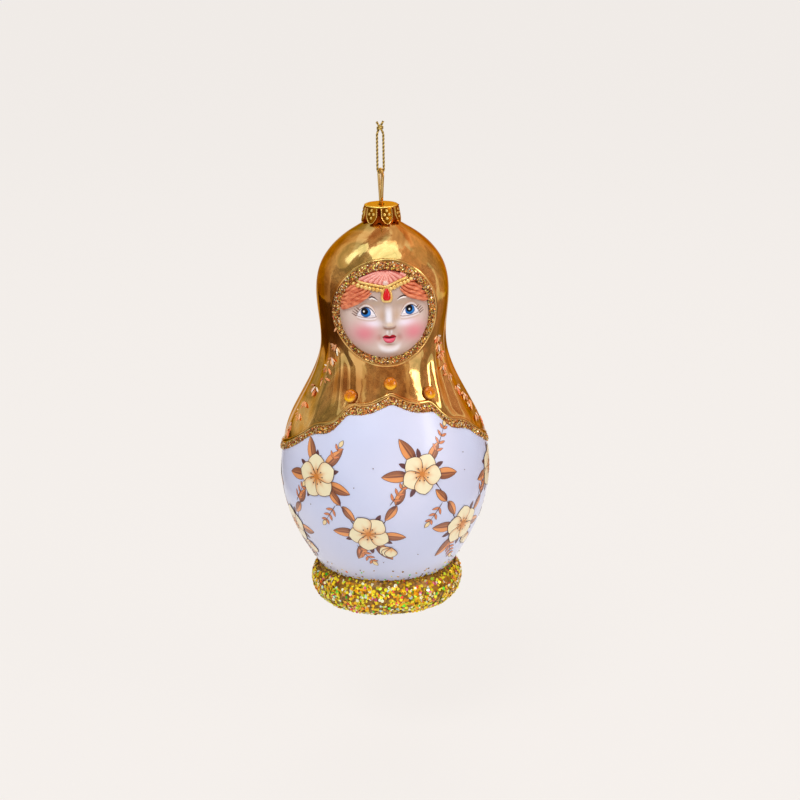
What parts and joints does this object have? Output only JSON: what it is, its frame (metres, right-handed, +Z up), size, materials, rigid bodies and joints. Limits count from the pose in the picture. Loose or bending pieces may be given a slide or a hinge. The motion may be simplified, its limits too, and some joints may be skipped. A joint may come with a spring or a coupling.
{
  "type": "hanging glass doll ornament",
  "caption": "Blown-glass hanging ornament in the form of a nesting doll, with a moulded face, glitter borders, glued stones, a stamped neck cap, a sprung wire hanger and a knotted cord loop.",
  "frame": {"origin": "top of the inside of the cord loop, just under the knot, where a hook holds the ornament up", "axes": "+Z up along the ornament's axis; -Y is the way the face looks; +X is to the right of someone who looks at the face"},
  "size_m": [0.0658, 0.0658, 0.152],
  "materials": {
    "gilded_glass": "gilded mirror gloss on head and shawl, pale lilac-white satin on the belly, hand-painted face",
    "fine_glitter": "fine copper-gold glitter in clear glue",
    "coarse_glitter": "coarse many-coloured gold flakes in clear glue",
    "amber_stone": "polished domed amber acrylic",
    "cap_metal": "bright stamped gold-coloured sheet",
    "wire_metal": "bright drawn gold-coloured wire",
    "gold_cord": "twisted metallic thread"
  },
  "bodies": {
    "cord": {"cord_loop": "gold_cord", "cord_knot": "gold_cord"},
    "hanger": {"hanger_wire": "wire_metal"},
    "cap": {"neck_cap": "cap_metal"},
    "doll": {"glass_body": "gilded_glass", "face_glitter_border": "fine_glitter", "hem_glitter_border": "fine_glitter", "foot_glitter_coat": "coarse_glitter", "stone_left": "amber_stone", "stone_centre": "amber_stone", "stone_right": "amber_stone"}
  },
  "joints": [
    {"name": "hanger_swing", "type": "hinge", "parent": "cord", "child": "hanger", "pos_m": [0, 0, -0.0115], "axis": [-0.2079, 0.9781, 0], "range_deg": [-60, 60]},
    {"name": "hanger_swivel", "type": "hinge", "parent": "hanger", "child": "cap", "pos_m": [0, 0, -0.02212], "axis": [0, 0, 1], "continuous": true},
    {"name": "cap_pull_off", "type": "slide", "parent": "cap", "child": "doll", "axis": [0, 0, -1], "range_m": [0, 0.02]}
  ]
}
